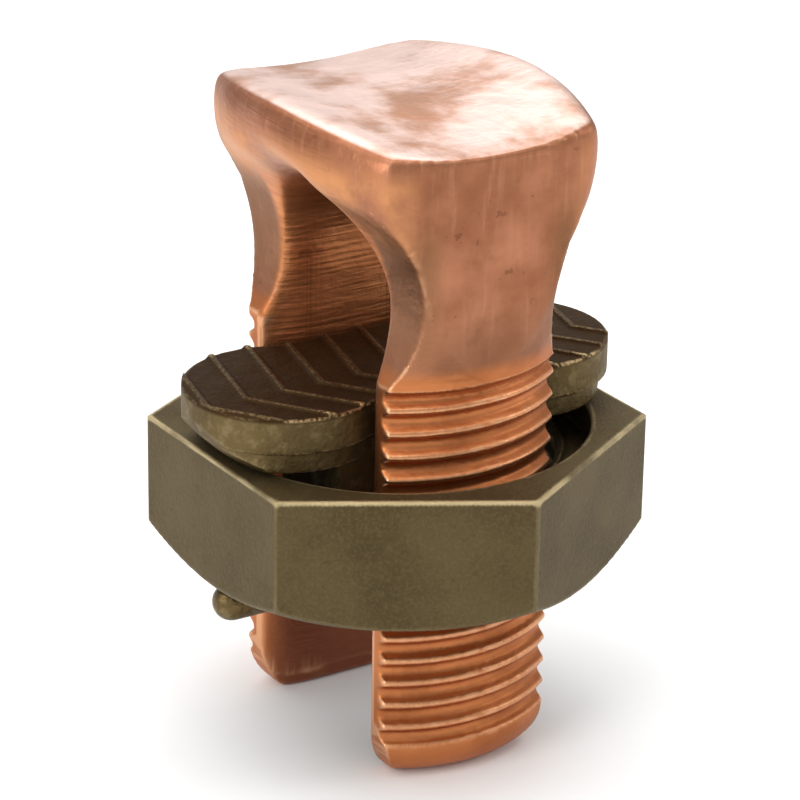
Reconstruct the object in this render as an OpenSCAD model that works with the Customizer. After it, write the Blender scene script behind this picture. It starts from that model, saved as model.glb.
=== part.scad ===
// Split bolt connector: a forged copper bolt whose slotted shank takes the
// conductors, a cast bronze pressure bar that rides in the slot, and a hex nut
// that runs up the thread and drives the bar. +Z is up along the bolt's axis, X
// runs along the conductors, and the origin is midway between the leg tips.

/* [Bolt] */
// Major diameter of the thread on the legs
thread_d = 28.575; // [28.2:0.025:28.6]
// Width of the legs along the conductors
leg_w = 16.9; // [16:0.1:17.4]
// Width of the slot between the legs
slot_w = 16; // [15.6:0.1:16.2]
// Height at which the thread ends and the head begins
thread_top = 37.4; // [36.5:0.1:38.5]
// Height of the centre of the arch over the conductors
arch_z = 42.9; // [42.5:0.1:43.5]
// Radius of the rounding at the leg tips
tip_round = 3.4; // [2:0.1:4]
// Radius of the bell mouth at both ends of the slot
mouth_r = 12.8; // [11:0.1:15]
// Half length of the straight stretch of the slot
mouth_start = 3; // [2:0.1:4]

/* [Head] */
// Height at the middle of the saddle
head_z = 58.35; // [57.5:0.05:59]
// Radius of the saddle's hollow, across the conductors' ends
hollow_r = 55; // [45:1:80]
// Radius of the saddle's crown, from leg to leg
crown_r = 110; // [90:1:150]
// Length of the head along the conductors, at its middle
head_l = 27.4; // [26.5:0.1:28]
// Width of the head from face to face, at its middle
head_w = 30.7; // [30.2:0.1:31.2]
// Plan radius of the bowed lips
lip_plan_r = 34.4; // [32:0.1:38]
// Radius of the lips' bulging edge, seen from the side
lip_roll_r = 12.5; // [11:0.5:14]
// Height of the lips' widest place
lip_z = 55.8; // [55:0.1:56.5]
// Plan radius of the two broad faces
face_plan_r = 55; // [50:1:70]
// Height of the narrowest place of the neck
neck_z = 43.2; // [42.6:0.1:44]
// Width of the neck at its narrowest place
neck_w = 13.4; // [13:0.1:14]
// Radius of the curve from the neck up to the lips
neck_r = 12.3; // [11.8:0.1:13]

/* [Nut] */
// Distance across the flats
nut_af = 38.1; // [38:0.1:40]
// Height of the nut
nut_h = 12; // [11:0.1:13]
// Height of the top face above the leg tips
nut_top = 28.9; // [27:0.1:30]
// Diameter of the recess in the top face
recess_d = 34; // [33:0.1:34.6]
// Depth of the recess
recess_h = 3; // [2:0.1:4]
// Radial clearance between thread and nut
thread_gap = 0.06; // [0.02:0.01:0.1]

/* [Pressure bar] */
// Height of the bar's gripping face above the nut
bar_top = 5.5; // [5:0.1:6]
// Gap between the wings and the nut
bar_gap = 0.35; // [0.3:0.05:0.8]
// Radius of the round wings at both ends
wing_r = 8.7; // [8.2:0.1:9]
// Distance of the wings' centres from the bolt's axis
wing_x = 11.8; // [11.4:0.1:12.2]
// Width of the bar inside the slot
bar_w = 15; // [14:0.1:15.4]
// Height of the serrations' ridges
tooth_h = 0.3; // [0.2:0.05:0.4]
// Width of the serrations' ridges
tooth_w = 0.6; // [0.4:0.1:1]
// Pitch of the serrations along the bar
tooth_pitch = 3.75; // [3:0.05:5]
// Width of the two prongs through the nut
prong_w = 4.2; // [3.6:0.1:4.6]
// Thickness of the prongs
prong_t = 2.6; // [2:0.1:3]
// Thickness of the turned-out feet under the nut
foot_t = 3.4; // [3:0.1:3.8]
// Reach of the feet from the bolt's axis
foot_x = 18.6; // [17.5:0.1:19]

/* [Hidden] */
$fn = 96;
e = 0.01;
thread_r = thread_d / 2;
slot_r = slot_w / 2;
nut_bottom = nut_top - nut_h;
bar_z = nut_top + bar_top;
wing_z = nut_top + bar_gap;
// The bulging edge ends this far under its widest place, inside the neck's curve
lip_roll_low = 8;
// Slope of the cone that grows the head's corners out of the round shank
corner_flare = 0.22;
// Slope of the two broad faces
face_draft = 0.055;
// Wings step in by this much below a ledge at this height above the nut
ledge_z = 2.3;
ledge_in = 0.7;
// The block under the bar centres it in the nut's bore
block_x = 10.6;
block_w = 14.2;
block_z = -4.2;
// Each serration is a chevron: a long ridge and a short one that meet here
vertex_y = -2;
long_lean = 13;
short_lean = 35;
teeth = 11;

copper = [0.74, 0.47, 0.33];
bronze = [0.42, 0.36, 0.24];

// One leg blank: a round shank with a rounded tip, before it is flattened
module shank() {
    rotate_extrude() {
        translate([0, tip_round]) square([thread_r, thread_top - tip_round + e]);
        square([thread_r - tip_round, thread_top]);
        intersection() {
            translate([thread_r - tip_round, tip_round]) circle(tip_round);
            translate([0, 0]) square([thread_r, thread_top]);
        }
    }
}

// Outline seen along the slot's width: flat legs, a neck, and lips that flare
module side_outline() {
    difference() {
        translate([-head_l / 2, 0]) square([head_l, head_z + 6]);
        for (s = [-1, 1]) {
            translate([s * (neck_w / 2 + neck_r), neck_z]) circle(neck_r);
            translate([s > 0 ? leg_w / 2 : -leg_w / 2 - 20, -1]) square([20, neck_z + 1]);
        }
    }
}

// Outline of the head from above: two bowed lips and two nearly flat faces
module plan_outline() {
    intersection_for (s = [-1, 1]) {
        intersection() {
            translate([s * (head_l / 2 - lip_plan_r), 0]) circle(lip_plan_r, $fn = 240);
            translate([0, s * (head_w / 2 - face_plan_r)]) circle(face_plan_r, $fn = 240);
        }
    }
}

// Saddle: the waist of a spool that lies along the conductors
module saddle() {
    translate([0, 0, head_z - crown_r]) rotate([0, 90, 0]) rotate_extrude($fn = 240) {
        difference() {
            translate([0, -head_l]) square([crown_r + head_l, 2 * head_l]);
            translate([crown_r + hollow_r, 0]) circle(hollow_r, $fn = 240);
        }
    }
}

// Bulging edge of the lips: a barrel of large radius on each side
module lip_roll() {
    axis_r = lip_plan_r - lip_roll_r;
    intersection_for (s = [-1, 1])
        translate([s * (head_l / 2 - lip_plan_r), 0, lip_z])
        rotate_extrude($fn = 240) {
            translate([0, -lip_roll_low]) square([axis_r, 3 * lip_roll_low]);
            intersection() {
                translate([axis_r, 0]) circle(lip_roll_r, $fn = 240);
                translate([0, -lip_roll_low]) square([lip_plan_r, 3 * lip_roll_low]);
            }
            translate([0, -lip_z]) square([2 * lip_plan_r, lip_z - lip_roll_low]);
        }
}

// Head blank: grows out of the round shank, capped by the saddle
module head() {
    draft = (head_z - thread_top) * face_draft;
    intersection() {
        linear_extrude(head_z + 6) plan_outline();
        rotate([90, 0, 90]) translate([0, 0, -head_l]) linear_extrude(2 * head_l)
            polygon([
                [-thread_r, thread_top - e], [thread_r, thread_top - e],
                [thread_r + draft, head_z + 6], [-thread_r - draft, head_z + 6]
            ]);
        translate([0, 0, thread_top - e])
            cylinder(h = 30, r1 = thread_r, r2 = thread_r + 30 * corner_flare);
        lip_roll();
        saddle();
    }
}

// The slot's half width grows toward its ends along a bell mouth
module mouth_profile() {
    difference() {
        translate([-16, 0]) square([32, slot_r + mouth_r]);
        for (s = [-1, 1])
            translate([s * mouth_start, slot_r + mouth_r]) circle(mouth_r, $fn = 240);
        translate([-mouth_start, slot_r]) square([2 * mouth_start, mouth_r + 1]);
    }
}

module slot() {
    translate([0, 0, arch_z]) rotate([0, 90, 0]) rotate([0, 0, 90])
        rotate_extrude() rotate(90) mirror([0, 1]) mouth_profile();
    translate([0, 0, -1]) linear_extrude(arch_z + 1) {
        mouth_profile();
        mirror([0, 1]) mouth_profile();
    }
}

module split_bolt() {
    color(copper) difference() {
        intersection() {
            union() {
                shank();
                head();
            }
            rotate([90, 0, 0]) translate([0, 0, -head_w]) linear_extrude(2 * head_w) side_outline();
        }
        slot();
    }
}

// Plan of one chevron: a long ridge to the back edge, a short one to the front
module chevron() {
    back_y = wing_r - vertex_y;
    front_y = -wing_r - vertex_y;
    back_x = back_y * tan(long_lean);
    front_x = -front_y * tan(short_lean);
    translate([0, vertex_y]) polygon([
        [0, 0], [back_x, back_y], [back_x + tooth_w, back_y],
        [tooth_w, 0], [front_x + tooth_w, front_y], [front_x, front_y]
    ]);
}

module bar_plan(w, r) {
    square([2 * wing_x, w], center = true);
    for (s = [-1, 1]) translate([s * wing_x, 0]) circle(r);
}

// Prong down through the nut, its round foot turned out under the nut
module prong(s) {
    foot_z = nut_bottom - bar_gap - foot_t;
    root_x = block_x - prong_t;
    translate([s > 0 ? root_x : -block_x, -prong_w / 2, foot_z])
        cube([prong_t, prong_w, nut_top - foot_z]);
    translate([s * root_x, 0, foot_z + foot_t / 2]) rotate([0, s * 90, 0])
        cylinder(h = foot_x - foot_t / 2 - root_x, d = foot_t);
    translate([s * (foot_x - foot_t / 2), 0, foot_z + foot_t / 2]) sphere(d = foot_t);
}

module pressure_bar() {
    color(bronze) {
        translate([0, 0, nut_top + ledge_z])
            linear_extrude(bar_top - ledge_z) bar_plan(bar_w, wing_r);
        translate([0, 0, bar_z - e]) linear_extrude(tooth_h + e) intersection() {
            bar_plan(bar_w, wing_r);
            for (i = [0 : teeth - 1]) translate([(i - teeth / 2) * tooth_pitch, 0]) chevron();
        }
        translate([0, 0, wing_z]) linear_extrude(ledge_z - bar_gap + e)
            bar_plan(bar_w - ledge_in, wing_r - ledge_in);
        translate([-block_x, -block_w / 2, nut_top + block_z])
            cube([2 * block_x, block_w, ledge_z - block_z + e]);
        prong(1);
        prong(-1);
    }
}

// Hexagon with its corners over the legs, top flat, bottom corners chamfered
module hex_nut() {
    corner_r = nut_af / 2 / cos(30);
    color(bronze) difference() {
        translate([0, 0, nut_bottom]) rotate([0, 0, 30]) cylinder(h = nut_h, r = corner_r, $fn = 6);
        difference() {
            translate([0, 0, nut_bottom - 1]) cylinder(h = 4, r = 30);
            translate([0, 0, nut_bottom - e]) cylinder(h = 5, r1 = 18.9, r2 = 18.9 + 5 / tan(31));
        }
        translate([0, 0, nut_bottom - 1]) cylinder(h = nut_h + 2, r = thread_r + thread_gap);
        translate([0, 0, nut_top - recess_h]) cylinder(h = recess_h + 1, d = recess_d);
    }
}

split_bolt();
pressure_bar();
hex_nut();
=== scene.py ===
import math

import bpy
import numpy as np
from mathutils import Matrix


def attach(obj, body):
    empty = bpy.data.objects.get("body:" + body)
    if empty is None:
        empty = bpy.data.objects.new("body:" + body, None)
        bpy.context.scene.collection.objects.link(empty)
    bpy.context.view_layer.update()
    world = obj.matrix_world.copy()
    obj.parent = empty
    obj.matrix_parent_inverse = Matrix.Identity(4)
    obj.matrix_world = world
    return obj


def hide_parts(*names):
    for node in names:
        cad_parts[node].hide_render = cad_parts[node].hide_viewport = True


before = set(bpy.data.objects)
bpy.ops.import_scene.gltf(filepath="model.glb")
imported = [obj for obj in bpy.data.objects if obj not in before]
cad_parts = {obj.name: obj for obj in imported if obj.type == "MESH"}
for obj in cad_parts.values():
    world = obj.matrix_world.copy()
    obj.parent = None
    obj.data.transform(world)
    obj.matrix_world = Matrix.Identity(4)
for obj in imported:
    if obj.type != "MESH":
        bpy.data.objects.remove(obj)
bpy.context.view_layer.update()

MM = 0.001

# ---------------------------------------------------------------- camera
# A long lens stands in front of the connector, to the left of the front leg
# and a little above it, and is turned slightly on its own axis.
aim = np.array([0, 0, 28.9]) * MM
azimuth, elevation, roll = (math.radians(a) for a in (-32.93, 22.55, 1.0))
back = np.array([
    math.sin(azimuth) * math.cos(elevation),
    -math.cos(azimuth) * math.cos(elevation),
    math.sin(elevation),
])
right = np.array([math.cos(azimuth), math.sin(azimuth), 0])
up = np.cross(back, right)
right, up = (
    math.cos(roll) * right + math.sin(roll) * up,
    math.cos(roll) * up - math.sin(roll) * right,
)
bpy.ops.object.camera_add()
camera = bpy.context.object
camera.data.sensor_width = 36
camera.data.lens = 161.6
camera.data.shift_x = 0.003
camera.data.shift_y = 0.018
camera.data.clip_start = 0.01
camera.rotation_mode = "QUATERNION"
camera.location = aim + back * 315.7 * MM
turned = np.column_stack([right, up, back])
camera.rotation_quaternion = type(camera.matrix_world)(
    [[*row, 0] for row in turned] + [[0, 0, 0, 1]]
).to_quaternion()
bpy.context.scene.camera = camera


# ---------------------------------------------------------------- bolt
# One copper forging: the head with its two rolled lips, the neck, and the
# shank split into two legs. The legs' right-hand thread is cut after
# forging, so it also notches the corners of the flattened sides.
# Sizes in mm: the pitch is a standard one, assumed; the phase is the height of
# one crest at the middle of the front leg.
PITCH = 2.1167
THREAD_R = 14.2875
ROOT_R = 13.58
CREST_FLAT = 0.26
THREAD_PHASE = 33.04
THREAD_END = 38.1
THREAD_START = 4.2
LEG_HALF = 8.45
TIP_H = 5.5
TIP_IN = 2.8


def select_only(piece):
    """Selects one piece and nothing else, ready for an operator."""
    bpy.ops.object.select_all(action="DESELECT")
    piece.select_set(True)
    bpy.context.view_layer.objects.active = piece


def blank_from(node, name):
    """A closed working copy of a CAD solid, with no material yet."""
    blank = bpy.data.objects.new(name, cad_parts[node].data.copy())
    bpy.context.scene.collection.objects.link(blank)
    blank.data.materials.clear()
    select_only(blank)
    bpy.ops.object.mode_set(mode="EDIT")
    bpy.ops.mesh.select_all(action="SELECT")
    bpy.ops.mesh.remove_doubles(threshold=1e-6)
    bpy.ops.object.mode_set(mode="OBJECT")
    return blank


def apply_all(piece):
    """Applies every modifier of a piece, in order."""
    select_only(piece)
    for modifier in list(piece.modifiers):
        bpy.ops.object.modifier_apply(modifier=modifier.name)


def helix(name, wide_r, wide, narrow_r, narrow, z_start, turns, steps=60):
    """A right-hand screw sweep of a trapezium, wide at one radius, narrow at the other."""
    bpy.ops.object.select_all(action="DESELECT")
    bpy.ops.mesh.primitive_circle_add(vertices=4, radius=MM, fill_type="NGON")
    sweep = bpy.context.object
    sweep.name = name
    corners = [
        (wide_r, wide / 2), (narrow_r, narrow / 2),
        (narrow_r, -narrow / 2), (wide_r, -wide / 2),
    ]
    for vertex, (r, z) in zip(sweep.data.vertices, corners):
        vertex.co = (r * MM, 0, (z_start + z) * MM)
    screw = sweep.modifiers.new("screw", "SCREW")
    screw.steps = screw.render_steps = steps
    screw.screw_offset = PITCH * MM
    screw.iterations = turns
    apply_all(sweep)
    bpy.ops.object.mode_set(mode="EDIT")
    bpy.ops.mesh.select_all(action="SELECT")
    bpy.ops.mesh.fill_holes(sides=8)
    bpy.ops.mesh.normals_make_consistent(inside=False)
    bpy.ops.object.mode_set(mode="OBJECT")
    return sweep


def combine(piece, other, how):
    """Cuts or joins another solid, which is used up."""
    boolean = piece.modifiers.new(how, "BOOLEAN")
    boolean.operation, boolean.solver, boolean.object = how, "EXACT", other
    apply_all(piece)
    bpy.data.objects.remove(other, do_unlink=True)


def vertex_array(piece):
    """The vertices' places as rows, in mm."""
    flat = np.empty(3 * len(piece.data.vertices))
    piece.data.vertices.foreach_get("co", flat)
    return flat.reshape(-1, 3) / MM


def soften(piece, voxel, passes, weights=None, factor=0.5):
    """Rounds every edge a little: an even skin, then smoothing, by vertex weight if given."""
    if voxel:
        skin = piece.modifiers.new("skin", "REMESH")
        skin.mode, skin.voxel_size = "VOXEL", voxel * MM
        apply_all(piece)
    smooth = piece.modifiers.new("smooth", "SMOOTH")
    smooth.factor, smooth.iterations = factor, passes
    if weights is not None:
        group = piece.vertex_groups.new(name="soft")
        levels = np.round(weights(vertex_array(piece)), 1)
        for level in np.unique(levels):
            if level > 0:
                group.add(np.nonzero(levels == level)[0].tolist(), float(level), "REPLACE")
        smooth.vertex_group = "soft"
    apply_all(piece)
    piece.vertex_groups.clear()


def thin_out(piece, triangles):
    """Thins the flat stretches until the piece has this many triangles."""
    piece.data.update()
    now = sum(len(face.vertices) - 2 for face in piece.data.polygons)
    if now > triangles:
        thin = piece.modifiers.new("thin", "DECIMATE")
        thin.ratio = triangles / now
        thin.use_collapse_triangulate = True
        apply_all(piece)
    piece.data.shade_smooth()


def mark_relief(piece, rounds):
    """Writes how far each vertex stands out from its surroundings, in mm, as 'relief'."""
    mesh = piece.data
    points = vertex_array(piece)
    ends = np.empty(2 * len(mesh.edges), dtype=np.int64)
    mesh.edges.foreach_get("vertices", ends)
    a, b = ends.reshape(-1, 2).T
    count = np.bincount(a, minlength=len(points)) + np.bincount(b, minlength=len(points))
    mean = points.copy()
    for _ in range(rounds):
        total = np.stack([
            np.bincount(a, weights=mean[b, i], minlength=len(points))
            + np.bincount(b, weights=mean[a, i], minlength=len(points))
            for i in range(3)
        ], axis=1)
        mean = 0.5 * mean + 0.5 * total / np.maximum(count, 1)[:, None]
    normals = np.empty(3 * len(points))
    mesh.vertex_normals.foreach_get("vector", normals)
    stand = ((points - mean) * normals.reshape(-1, 3)).sum(axis=1)
    mesh.attributes.new("relief", "FLOAT", "POINT").data.foreach_set("value", stand)


class Value:
    """A shader socket that takes part in sums; each sum adds its Math node."""

    def __init__(self, tree, socket):
        self.tree, self.socket = tree, socket

    def math(self, operation, *terms):
        node = self.tree.nodes.new("ShaderNodeMath")
        node.operation = operation
        for place, term in zip(node.inputs, terms):
            if isinstance(term, Value):
                self.tree.links.new(term.socket, place)
            else:
                place.default_value = term
        return Value(self.tree, node.outputs[0])

    def __add__(self, other): return self.math("ADD", self, other)
    def __radd__(self, other): return self.math("ADD", other, self)
    def __sub__(self, other): return self.math("SUBTRACT", self, other)
    def __rsub__(self, other): return self.math("SUBTRACT", other, self)
    def __mul__(self, other): return self.math("MULTIPLY", self, other)
    def __rmul__(self, other): return self.math("MULTIPLY", other, self)

    def ramp(self, low, high):
        """0 up to low, 1 from high, and even between them."""
        node = self.tree.nodes.new("ShaderNodeMapRange")
        node.interpolation_type = "SMOOTHSTEP"
        self.tree.links.new(self.socket, node.inputs["Value"])
        node.inputs["From Min"].default_value = low
        node.inputs["From Max"].default_value = high
        return Value(self.tree, node.outputs["Result"])


class Finish:
    """A metal finish, built up node by node in millimetres of the object's own frame."""

    def __init__(self, name):
        self.material = bpy.data.materials.new(name)
        self.material.use_nodes = True
        self.tree = self.material.node_tree
        self.metal = self.tree.nodes["Principled BSDF"]
        place = self.add("TexCoord").outputs["Object"]
        self.mm = self.vector("MULTIPLY", Value(self.tree, place), (1 / MM,) * 3)

    def add(self, kind, settings=(), inputs=()):
        node = self.tree.nodes.new("ShaderNode" + kind)
        for key, setting in dict(settings).items():
            setattr(node, key, setting)
        for key, entry in dict(inputs).items():
            if isinstance(entry, Value):
                self.tree.links.new(entry.socket, node.inputs[key])
            else:
                node.inputs[key].default_value = entry
        return node

    def vector(self, operation, first, second):
        node = self.add("VectorMath", {"operation": operation}, {0: first, 1: second})
        return Value(self.tree, node.outputs[0])

    def parts(self, vector):
        node = self.add("SeparateXYZ", (), {0: vector})
        return [Value(self.tree, out) for out in node.outputs]

    def noise(self, size, detail=4, rough=0.55, stretch=(1, 1, 1), shift=0):
        """Noise with features of this size in mm; stretch lengthens them along an axis."""
        where = self.vector("MULTIPLY", self.mm, tuple(1 / (size * s) for s in stretch))
        if shift:
            where = self.vector("ADD", where, (shift, shift, shift))
        inputs = {"Vector": where, "Scale": 1, "Detail": detail, "Roughness": rough}
        node = self.add("TexNoise", (), inputs)
        return Value(self.tree, node.outputs["Fac"])

    def attribute(self, name):
        return Value(self.tree, self.add("Attribute", {"attribute_name": name}).outputs["Fac"])

    def mix(self, factor, first, second):
        inputs = {0: factor, 6: first, 7: second}
        node = self.add("Mix", {"data_type": "RGBA"}, inputs)
        return Value(self.tree, node.outputs[2])

    def bump(self, height, depth, under=None):
        """Bump of this depth in mm, on top of another bump if given."""
        inputs = {"Height": height, "Strength": 1, "Distance": depth * MM}
        if under:
            inputs["Normal"] = under
        return Value(self.tree, self.add("Bump", (), inputs).outputs["Normal"])

    def give(self, piece, colour, roughness, normal):
        """Ends the finish and puts it on a piece."""
        self.metal.inputs["Metallic"].default_value = 1
        for key, entry in {"Base Color": colour, "Roughness": roughness, "Normal": normal}.items():
            self.tree.links.new(entry.socket, self.metal.inputs[key])
        piece.data.materials.append(self.material)


bolt = blank_from("split_bolt", "bolt_forging")
groove_wide = PITCH - CREST_FLAT + 0.15
groove = helix(
    "groove", THREAD_R + 0.2, groove_wide, ROOT_R, 0.75,
    THREAD_PHASE + PITCH * 0.75 - 17 * PITCH, 19,
)
for vertex in groove.data.vertices:
    height = vertex.co.z / MM
    lift = max((height - THREAD_END + PITCH) / PITCH, (THREAD_START - height) / PITCH)
    if lift > 0:
        r = math.hypot(vertex.co.x, vertex.co.y)
        vertex.co.x *= 1 + min(lift, 1) * 1.2 * MM / r
        vertex.co.y *= 1 + min(lift, 1) * 1.2 * MM / r
combine(bolt, groove, "DIFFERENCE")
soften(bolt, 0.17, 3)


def bolt_softness(points):
    """The head is rounded most at its lips; the slot's edges are broken; the thread stays crisp."""
    x, y, z = np.abs(points[:, 0]), np.abs(points[:, 1]), points[:, 2]
    lips = np.clip((x - 6.5) / 4, 0, 1) * np.clip(1.3 - np.clip(y - 12.5, 0, 1), 0, 1)
    head = np.clip((z - 38.8) / 4, 0, 1) * (0.25 + 0.75 * lips)
    slot = 0.5 * np.clip((13.1 - np.hypot(x, y)) / 0.4, 0, 1)
    return np.maximum(head, slot)


soften(bolt, None, 180, bolt_softness)
soften(
    bolt, None, 450,
    lambda p: np.clip((np.abs(p[:, 0]) - 7.5) / 4, 0, 1) * np.clip((p[:, 2] - 49) / 4, 0, 1),
)
for vertex in bolt.data.vertices:
    drop = 1 - vertex.co.z / MM / TIP_H
    if drop > 0:
        limit = (LEG_HALF - TIP_IN * (1 - math.sqrt(1 - min(drop, 1) ** 2))) * MM
        vertex.co.x = min(max(vertex.co.x, -limit), limit)
soften(bolt, None, 12, lambda p: np.clip((4.5 - p[:, 2]) / 3, 0, 1))
thin_out(bolt, 190000)
mark_relief(bolt, 6)

copper = Finish("forged_copper")
x, y, z = copper.parts(copper.mm)
relief = copper.attribute("relief")
edge = relief.ramp(0.015, 0.06)
hollow_shade = (relief * -1).ramp(0.012, 0.06)
head = z.ramp(37.5, 39)
cloud = copper.noise(9, 5)
streak = copper.noise(2.2, 4, stretch=(0.35, 0.35, 3))
facing = copper.parts(Value(copper.tree, copper.add("TexCoord").outputs["Normal"]))[2]
crown = facing.ramp(0.8, 0.97) * z.ramp(54, 56)
patina_and_painted_light = copper.mix(cloud.ramp(0.35, 0.65), (0.44, 0.185, 0.1, 1), (0.31, 0.12, 0.06, 1))
patina_and_painted_light = copper.mix(streak.ramp(0.5, 0.8) * 0.45, patina_and_painted_light, (0.54, 0.26, 0.155, 1))
stain = copper.noise(5, 6, 0.65, shift=7).ramp(0.54, 0.72)
patina_and_painted_light = copper.mix(stain * 0.5, patina_and_painted_light, (0.2, 0.085, 0.042, 1))
specks = copper.noise(1.1, 2, shift=3).ramp(0.68, 0.74)
patina_and_painted_light = copper.mix(specks * 0.5, patina_and_painted_light, (0.16, 0.06, 0.03, 1))
# The faced top is worn bare copper, and its pale pink-white is also a painted reflection of the
# overhead light.
worn = copper.noise(7, 5, shift=2).ramp(0.42, 0.66)
faced_and_sheen = copper.mix(worn, (0.84, 0.63, 0.56, 1), (0.52, 0.27, 0.17, 1))
patina_and_painted_light = copper.mix(crown, patina_and_painted_light, faced_and_sheen)
cut = copper.mix(cloud.ramp(0.4, 0.7), (0.52, 0.185, 0.066, 1), (0.38, 0.125, 0.043, 1))
side = x.math("ABSOLUTE", x).ramp(4.5, 7)
# Painted reflection: the neck's sides are darkened where they mirror the dark bar.
rise = z - 45
neck_reflection = side * (1 - rise.math("ABSOLUTE", rise).ramp(3, 9))
patina_and_painted_light = copper.mix(neck_reflection * 0.6, patina_and_painted_light, (0.2, 0.1, 0.045, 1))
# Painted highlight: a patchy orange glow on the rounded lips below the top.
lip_highlight = x.math("ABSOLUTE", x).ramp(7, 10) * z.ramp(46, 51) * (1 - z.ramp(55, 58))
patina_and_painted_light = copper.mix(lip_highlight * cloud.ramp(0.4, 0.6), patina_and_painted_light, (0.62, 0.28, 0.12, 1))
collar = (1 - z.ramp(39, 45)) * (1 - side)
patina_and_painted_light = copper.mix(collar * 0.6, patina_and_painted_light, (0.21, 0.095, 0.05, 1))
colour = copper.mix(head, cut, patina_and_painted_light)
width = y.math("ABSOLUTE", y)
inside = 1 - width.ramp(8.3, 9.5)
lines = copper.noise(0.45, 2, stretch=(14, 14, 1)).ramp(0.3, 0.7)
sawn_and_shade = copper.mix(lines, (0.66, 0.27, 0.11, 1), (0.54, 0.21, 0.083, 1))
# Painted shade: the slot's sawn inner faces darken downwards below the nut.
sawn_and_shade = copper.mix(1 - z.ramp(18, 30), sawn_and_shade, (0.25, 0.085, 0.045, 1))
colour = copper.mix(inside * (1 - crown) * (1 - z.ramp(50, 52)), colour, sawn_and_shade)
# Painted shade: the copper's hollows are darkened.
colour = copper.mix(hollow_shade * 0.6, colour, (0.22, 0.08, 0.035, 1))
colour = copper.mix(edge * 0.6, colour, (0.82, 0.46, 0.26, 1))
grain = copper.noise(0.5, 3)
rough = 0.36 + 0.16 * cloud.ramp(0.3, 0.8) + 0.08 * grain - 0.1 * edge
normal = copper.bump(grain, 0.02)
normal = copper.bump(copper.noise(3.5, 4, shift=4), 0.2, normal)
normal = copper.bump(lines * inside, 0.03, normal)
scratch = copper.noise(0.5, 3, stretch=(12, 1.2, 12), shift=5)
normal = copper.bump(scratch * crown, 0.035, normal)
copper.give(bolt, colour, rough, normal)
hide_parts("split_bolt")
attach(bolt, "bolt")


# ---------------------------------------------------------------- pressure bar
# One bronze casting. Its serrated wings lie over the nut, and two prongs go
# down through the nut and turn out under it, so the nut can't be lost.
TIP_REACH = 20.5
TIP_UNDER = 18.0
bar = blank_from("pressure_bar", "bar_casting")
soften(bar, 0.13, 3)
for vertex in bar.data.vertices:
    rise = min(max((vertex.co.z / MM - 29.3) / 3.6, 0), 1)
    reach = (TIP_UNDER + (TIP_REACH - TIP_UNDER) * math.sin(rise * math.pi / 2)) * MM
    r = math.hypot(vertex.co.x, vertex.co.y)
    if vertex.co.z > 29 * MM and r > reach:
        vertex.co.x *= reach / r
        vertex.co.y *= reach / r
soften(bar, None, 6)
thin_out(bar, 150000)
mark_relief(bar, 8)

brown = Finish("brown_bronze")
_, y, z = brown.parts(brown.mm)
relief = brown.attribute("relief")
edge = relief.ramp(0.012, 0.05)
hollow_shade = (relief * -1).ramp(0.01, 0.05)
cloud = brown.noise(6, 4)
grain = brown.noise(0.35, 4)
top = z.ramp(33.9, 34.3)
colour = brown.mix(cloud.ramp(0.35, 0.7), (0.15, 0.105, 0.045, 1), (0.1, 0.068, 0.028, 1))
rubbed = brown.noise(1.6, 4, 0.6, shift=3).ramp(0.5, 0.68)
colour = brown.mix(rubbed * 0.6, colour, (0.25, 0.19, 0.095, 1))
colour = brown.mix(top * 0.9, colour, (0.042, 0.02, 0.008, 1))
# Painted shade: the bar's hollows are darkened.
colour = brown.mix(hollow_shade * 0.6, colour, (0.03, 0.016, 0.008, 1))
rim = y.math("ABSOLUTE", y).ramp(7.2, 8) * 0.55 + 0.22
colour = brown.mix(edge * grain.ramp(0.35, 0.65) * rim, colour, (0.62, 0.45, 0.23, 1))
foot = 1 - z.ramp(17, 18)
rough = 0.52 + 0.15 * grain - 0.15 * edge + 0.08 * top - 0.2 * foot
normal = brown.bump(grain, 0.05)
normal = brown.bump(brown.noise(2.2, 4, 0.6), 0.3, normal)
brown.give(bar, colour, rough, normal)
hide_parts("pressure_bar")
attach(bar, "bar")


# ---------------------------------------------------------------- nut
# A cast bronze nut, faced on top, with a recess that clears the bar, and the
# mating thread in its bore.
nut = blank_from("hex_nut", "nut_casting")
ridge = helix(
    "ridge", THREAD_R + 0.4, PITCH - 0.55, ROOT_R + 0.3, 0.22,
    THREAD_PHASE + PITCH * 0.75 - 8 * PITCH, 4,
)
combine(nut, ridge, "UNION")
soften(nut, 0.2, 3)
thin_out(nut, 130000)
mark_relief(nut, 8)

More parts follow.
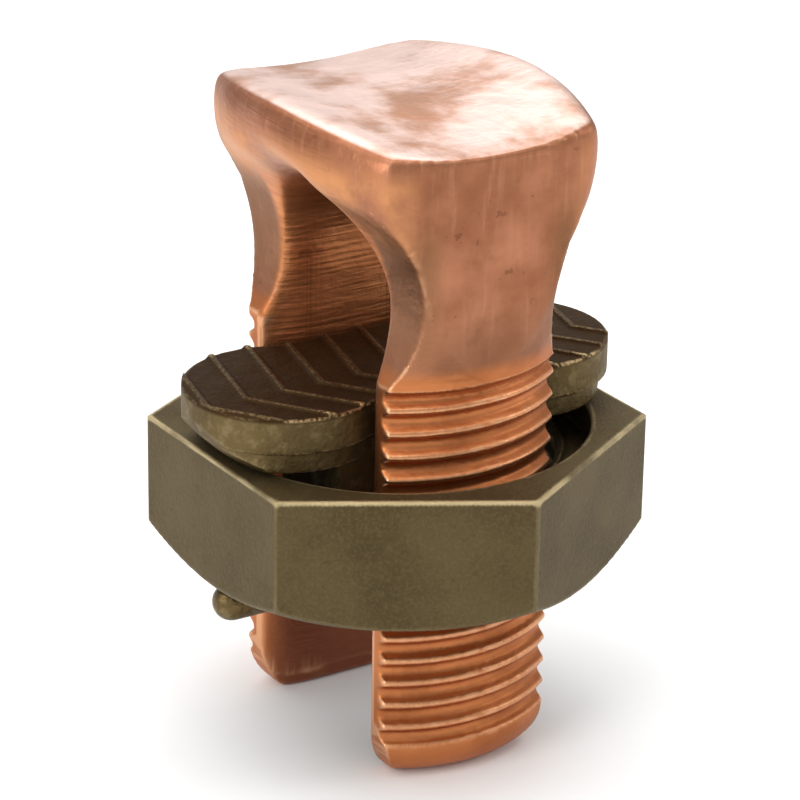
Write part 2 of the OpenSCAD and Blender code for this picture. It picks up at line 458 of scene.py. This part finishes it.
olive = Finish("olive_bronze")
z = olive.parts(olive.mm)[2]
relief = olive.attribute("relief")
edge = relief.ramp(0.015, 0.07)
hollow_shade = (relief * -1).ramp(0.015, 0.06)
cloud = olive.noise(8, 5)
grain = olive.noise(0.3, 5, 0.65)
colour = olive.mix(cloud.ramp(0.3, 0.75), (0.125, 0.092, 0.043, 1), (0.082, 0.058, 0.026, 1))
colour = olive.mix(grain.ramp(0.42, 0.66) * 0.4, colour, (0.18, 0.14, 0.07, 1))
spots = olive.noise(0.7, 4, 0.7, shift=3).ramp(0.58, 0.72)
colour = olive.mix(spots * 0.35, colour, (0.05, 0.034, 0.016, 1))
# Painted shade: the nut's hollows are darkened.
colour = olive.mix(hollow_shade * 0.5, colour, (0.035, 0.024, 0.012, 1))
rim = z.ramp(28.2, 28.7) * 0.7 + 0.12
colour = olive.mix(edge * cloud.ramp(0.3, 0.55) * rim, colour, (0.6, 0.48, 0.27, 1))
rough = 0.5 + 0.18 * grain - 0.15 * edge
normal = olive.bump(grain, 0.12)
normal = olive.bump(olive.noise(1.5, 3), 0.08, normal)
olive.give(nut, colour, rough, normal)
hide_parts("hex_nut")
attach(nut, "nut")


# ---------------------------------------------------------------- studio
# A pale plain floor under an even white surround, with a soft box overhead
# and two at the sides.
bpy.ops.object.select_all(action="DESELECT")
bpy.ops.mesh.primitive_plane_add(size=6)
floor = bpy.context.object
floor.name = "floor"
paper = bpy.data.materials.new("paper")
paper.use_nodes = True
matt = paper.node_tree.nodes["Principled BSDF"].inputs
matt["Base Color"].default_value = (0.95, 0.95, 0.95, 1)
matt["Roughness"].default_value = 0.9
floor.data.materials.append(paper)

surround = bpy.data.worlds.new("surround")
bpy.context.scene.world = surround
surround.use_nodes = True
glow = surround.node_tree.nodes["Background"].inputs
glow["Color"].default_value = (1, 1, 1, 1)
glow["Strength"].default_value = 0.65


def soft_box(name, place, size, watts):
    """A square soft light that faces the connector."""
    bpy.ops.object.light_add(type="AREA")
    lamp = bpy.context.object
    lamp.name = name
    lamp.data.size, lamp.data.energy = size, watts
    lamp.location = place
    away = lamp.location.copy()
    away.z -= 0.03
    lamp.rotation_mode = "QUATERNION"
    lamp.rotation_quaternion = away.to_track_quat("Z", "Y")


soft_box("overhead", (0.0, 0.1, 0.5), 0.8, 3.0)
soft_box("left", (-0.45, -0.1, 0.22), 0.25, 0.9)
soft_box("right", (0.4, -0.25, 0.25), 0.2, 0.35)
bpy.context.scene.view_settings.view_transform = "Standard"
